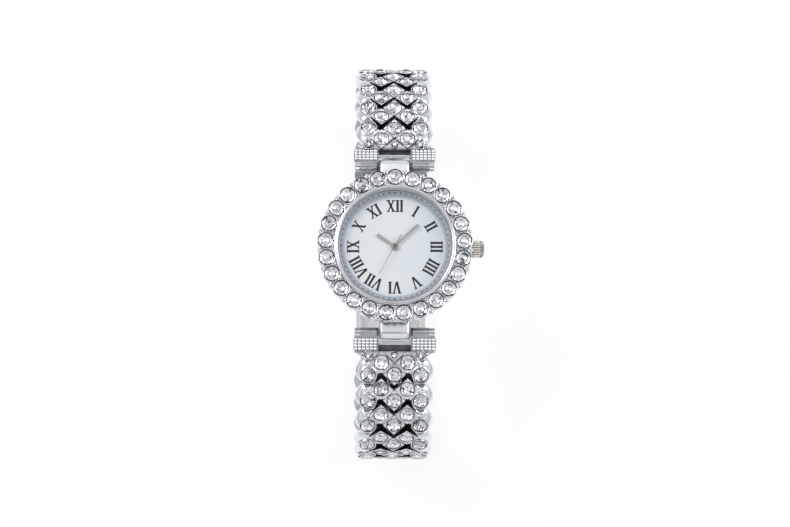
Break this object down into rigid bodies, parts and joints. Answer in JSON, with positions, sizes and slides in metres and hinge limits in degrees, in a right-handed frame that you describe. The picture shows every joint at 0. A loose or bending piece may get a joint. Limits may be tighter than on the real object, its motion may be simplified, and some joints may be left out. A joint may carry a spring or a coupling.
{
  "type": "quartz bracelet watch",
  "caption": "Quartz wristwatch with a round stone-set bezel, a Roman-numeral dial under a flat crystal, and a hinged stone-set link bracelet closed by a folding clasp.",
  "frame": {"origin": "Centre of the case back's flat outer face, on the axis of the hands.", "axes": "+Z points out of the dial, +Y to 12 o'clock along the bracelet, +X to the crown at 3 o'clock. The watch stands face up on its clasp."},
  "size_m": [0.0351, 0.086, 0.0497],
  "materials": {
    "chrome_plated": "polished chrome plate over cast alloy",
    "polished_steel": "fine brushed stainless steel",
    "crown_plated": "polished chrome plate",
    "stone_glass": "cut glass, foil backed",
    "mineral_crystal": "clear mineral glass",
    "pearl_dial": "pearl lacquer over brass",
    "grey_ring": "silvered",
    "hand_metal": "polished",
    "movement_brass": "nickel-free brass",
    "movement_plastic": "moulded nylon",
    "gasket_rubber": "nitrile rubber",
    "gasket_nylon": "white nylon",
    "board": "glass-epoxy board",
    "copper_coil": "lacquered copper wire",
    "stator_iron": "soft iron",
    "cell_steel": "nickel-plated cell"
  },
  "bodies": {
    "case": {"case": "chrome_plated", "case_back": "polished_steel", "bezel": "chrome_plated", "bezel_stones": "stone_glass", "crystal": "mineral_crystal", "lug_pins": "polished_steel", "dial": "pearl_dial", "dial_ring": "grey_ring", "movement_holder": "movement_plastic", "main_plate": "movement_brass", "train_bridge": "movement_brass", "circuit_board": "board", "coil": "copper_coil", "stator": "stator_iron", "battery": "cell_steel", "battery_clamp": "polished_steel", "case_back_gasket": "gasket_rubber", "crystal_gasket": "gasket_nylon", "crown_gasket": "gasket_rubber"},
    "seconds": {"seconds_wheel": "movement_brass", "seconds_hand": "hand_metal"},
    "minutes": {"centre_wheel": "movement_brass", "minute_hand": "hand_metal"},
    "hours": {"hour_wheel": "movement_brass", "hour_hand": "hand_metal"},
    "rotor": {"rotor": "stator_iron"},
    "fifth_wheel": {"fifth_wheel": "movement_brass"},
    "third_wheel": {"third_wheel": "movement_brass"},
    "minute_wheel": {"minute_wheel": "movement_brass"},
    "setting_lever": {"setting_lever": "polished_steel"},
    "crown": {"crown": "crown_plated", "stem": "polished_steel"},
    "end_link_12": {"end_link_12": "chrome_plated"},
    "end_link_6": {"end_link_6": "chrome_plated"},
    "link_12_1": {"link_12_1": "chrome_plated"},
    "link_12_2": {"link_12_2": "chrome_plated"},
    "link_12_3": {"link_12_3": "chrome_plated"},
    "link_12_4": {"link_12_4": "chrome_plated"},
    "link_12_5": {"link_12_5": "chrome_plated"},
    "link_12_6": {"link_12_6": "chrome_plated"},
    "link_12_7": {"link_12_7": "chrome_plated"},
    "link_12_8": {"link_12_8": "chrome_plated"},
    "link_12_9": {"link_12_9": "chrome_plated"},
    "link_12_10": {"link_12_10": "chrome_plated"},
    "link_6_1": {"link_6_1": "chrome_plated"},
    "link_6_2": {"link_6_2": "chrome_plated"},
    "link_6_3": {"link_6_3": "chrome_plated"},
    "link_6_4": {"link_6_4": "chrome_plated"},
    "link_6_5": {"link_6_5": "chrome_plated"},
    "link_6_6": {"link_6_6": "chrome_plated"},
    "link_6_7": {"link_6_7": "chrome_plated"},
    "link_6_8": {"link_6_8": "chrome_plated"},
    "link_6_9": {"link_6_9": "chrome_plated"},
    "link_6_10": {"link_6_10": "chrome_plated"},
    "clasp_cover": {"clasp_cover": "polished_steel", "clasp_cover_pins": "polished_steel"},
    "clasp_middle": {"clasp_middle": "polished_steel", "clasp_middle_pin": "polished_steel"},
    "clasp_base": {"clasp_base": "polished_steel", "clasp_base_bar": "polished_steel"}
  },
  "joints": [
    {"name": "seconds_turn", "type": "hinge", "parent": "case", "child": "seconds", "pos_m": [0, 0, 0.0063], "axis": [0, 0, -1], "continuous": true},
    {"name": "minutes_turn", "type": "hinge", "parent": "case", "child": "minutes", "pos_m": [0, 0, 0.006], "axis": [0, 0, -1], "continuous": true},
    {"name": "hours_turn", "type": "hinge", "parent": "case", "child": "hours", "pos_m": [0, 0, 0.0057], "axis": [0, 0, -1], "continuous": true},
    {"name": "rotor_turn", "type": "hinge", "parent": "case", "child": "rotor", "pos_m": [0.00165, 0.00392, 0.003], "axis": [0, 0, -1], "continuous": true},
    {"name": "fifth_wheel_turn", "type": "hinge", "parent": "case", "child": "fifth_wheel", "pos_m": [0.00112, 0.00195, 0.003], "axis": [0, 0, -1], "continuous": true},
    {"name": "third_wheel_turn", "type": "hinge", "parent": "case", "child": "third_wheel", "pos_m": [-0.00167, 0.00117, 0.003], "axis": [0, 0, -1], "continuous": true},
    {"name": "minute_wheel_turn", "type": "hinge", "parent": "case", "child": "minute_wheel", "pos_m": [0.00096, -0.00166, 0.0042], "axis": [0, 0, -1], "continuous": true},
    {"name": "crown_pull", "type": "slide", "parent": "case", "child": "setting_lever", "axis": [1, 0, 0], "range_m": [0, 0.001]},
    {"name": "crown_turn", "type": "hinge", "parent": "setting_lever", "child": "crown", "pos_m": [0.0174, 0, 0.003], "axis": [1, 0, 0], "continuous": true},
    {"name": "end_link_12_hinge", "type": "hinge", "parent": "case", "child": "end_link_12", "pos_m": [0, 0.0178, 0.0026], "axis": [1, 0, 0], "range_deg": [0, 20.2]},
    {"name": "link_12_1_hinge", "type": "hinge", "parent": "end_link_12", "child": "link_12_1", "pos_m": [0, 0.02732, -0.00053], "axis": [1, 0, 0], "range_deg": [0, 13.8]},
    {"name": "link_12_2_hinge", "type": "hinge", "parent": "link_12_1", "child": "link_12_2", "pos_m": [0, 0.03208, -0.00328], "axis": [1, 0, 0], "range_deg": [0, 7]},
    {"name": "link_12_3_hinge", "type": "hinge", "parent": "link_12_2", "child": "link_12_3", "pos_m": [0, 0.03659, -0.00643], "axis": [1, 0, 0], "range_deg": [0, 17]},
    {"name": "link_12_4_hinge", "type": "hinge", "parent": "link_12_3", "child": "link_12_4", "pos_m": [0, 0.04012, -0.01065], "axis": [1, 0, 0], "range_deg": [0, 19.5]},
    {"name": "link_12_5_hinge", "type": "hinge", "parent": "link_12_4", "child": "link_12_5", "pos_m": [0, 0.04223, -0.01573], "axis": [1, 0, 0], "range_deg": [0, 22.3]},
    {"name": "link_12_6_hinge", "type": "hinge", "parent": "link_12_5", "child": "link_12_6", "pos_m": [0, 0.04244, -0.02123], "axis": [1, 0, 0], "range_deg": [0, 20.5]},
    {"name": "link_12_7_hinge", "type": "hinge", "parent": "link_12_6", "child": "link_12_7", "pos_m": [0, 0.0409, -0.0265], "axis": [1, 0, 0], "range_deg": [0, 18.5]},
    {"name": "link_12_8_hinge", "type": "hinge", "parent": "link_12_7", "child": "link_12_8", "pos_m": [0, 0.03791, -0.03113], "axis": [1, 0, 0], "range_deg": [0, 17.3]},
    {"name": "link_12_9_hinge", "type": "hinge", "parent": "link_12_8", "child": "link_12_9", "pos_m": [0, 0.03382, -0.0348], "axis": [1, 0, 0], "range_deg": [0, 17.2]},
    {"name": "link_12_10_hinge", "type": "hinge", "parent": "link_12_9", "child": "link_12_10", "pos_m": [0, 0.02891, -0.03727], "axis": [1, 0, 0], "range_deg": [0, 17.7]},
    {"name": "end_link_6_hinge", "type": "hinge", "parent": "case", "child": "end_link_6", "pos_m": [0, -0.0178, 0.0026], "axis": [-1, 0, 0], "range_deg": [0, 22.4]},
    {"name": "link_6_1_hinge", "type": "hinge", "parent": "end_link_6", "child": "link_6_1", "pos_m": [0, -0.02719, -0.00089], "axis": [-1, 0, 0], "range_deg": [0, 10.6]},
    {"name": "link_6_2_hinge", "type": "hinge", "parent": "link_6_1", "child": "link_6_2", "pos_m": [0, -0.032, -0.00356], "axis": [-1, 0, 0], "range_deg": [0, 11.5]},
    {"name": "link_6_3_hinge", "type": "hinge", "parent": "link_6_2", "child": "link_6_3", "pos_m": [0, -0.03631, -0.00698], "axis": [-1, 0, 0], "range_deg": [0, 25.5]},
    {"name": "link_6_4_hinge", "type": "hinge", "parent": "link_6_3", "child": "link_6_4", "pos_m": [0, -0.03889, -0.01184], "axis": [-1, 0, 0], "range_deg": [0, 22]},
    {"name": "link_6_5_hinge", "type": "hinge", "parent": "link_6_4", "child": "link_6_5", "pos_m": [0, -0.03965, -0.01729], "axis": [-1, 0, 0], "range_deg": [0, 14.9]},
    {"name": "link_6_6_hinge", "type": "hinge", "parent": "link_6_5", "child": "link_6_6", "pos_m": [0, -0.03918, -0.02277], "axis": [-1, 0, 0], "range_deg": [0, 16.4]},
    {"name": "link_6_7_hinge", "type": "hinge", "parent": "link_6_6", "child": "link_6_7", "pos_m": [0, -0.03737, -0.02796], "axis": [-1, 0, 0], "range_deg": [0, 17.9]},
    {"name": "link_6_8_hinge", "type": "hinge", "parent": "link_6_7", "child": "link_6_8", "pos_m": [0, -0.0342, -0.03245], "axis": [-1, 0, 0], "range_deg": [0, 18.6]},
    {"name": "link_6_9_hinge", "type": "hinge", "parent": "link_6_8", "child": "link_6_9", "pos_m": [0, -0.02987, -0.03585], "axis": [-1, 0, 0], "range_deg": [0, 18.2]},
    {"name": "link_6_10_hinge", "type": "hinge", "parent": "link_6_9", "child": "link_6_10", "pos_m": [0, -0.02477, -0.03791], "axis": [-1, 0, 0], "range_deg": [0, 17.32]},
    {"name": "clasp_cover_hinge", "type": "hinge", "parent": "link_12_10", "child": "clasp_cover", "pos_m": [0, 0.02047, -0.03891], "axis": [1, 0, 0], "range_deg": [0, 25]},
    {"name": "clasp_middle_hinge", "type": "hinge", "parent": "clasp_cover", "child": "clasp_middle", "pos_m": [0, -0.01273, -0.04001], "axis": [1, 0, 0], "range_deg": [0, 95]},
    {"name": "clasp_base_hinge", "type": "hinge", "parent": "clasp_middle", "child": "clasp_base", "pos_m": [0, 0.01547, -0.03956], "axis": [-1, 0, 0], "range_deg": [0, 95]}
  ],
  "couplings": [
    {"joint": "minutes_turn", "follows": "seconds_turn", "ratio": 0.016667},
    {"joint": "hours_turn", "follows": "seconds_turn", "ratio": 0.0013889},
    {"joint": "fifth_wheel_turn", "follows": "seconds_turn", "ratio": -4},
    {"joint": "rotor_turn", "follows": "seconds_turn", "ratio": 30},
    {"joint": "third_wheel_turn", "follows": "seconds_turn", "ratio": -0.13333},
    {"joint": "minute_wheel_turn", "follows": "seconds_turn", "ratio": -0.0055556}
  ]
}
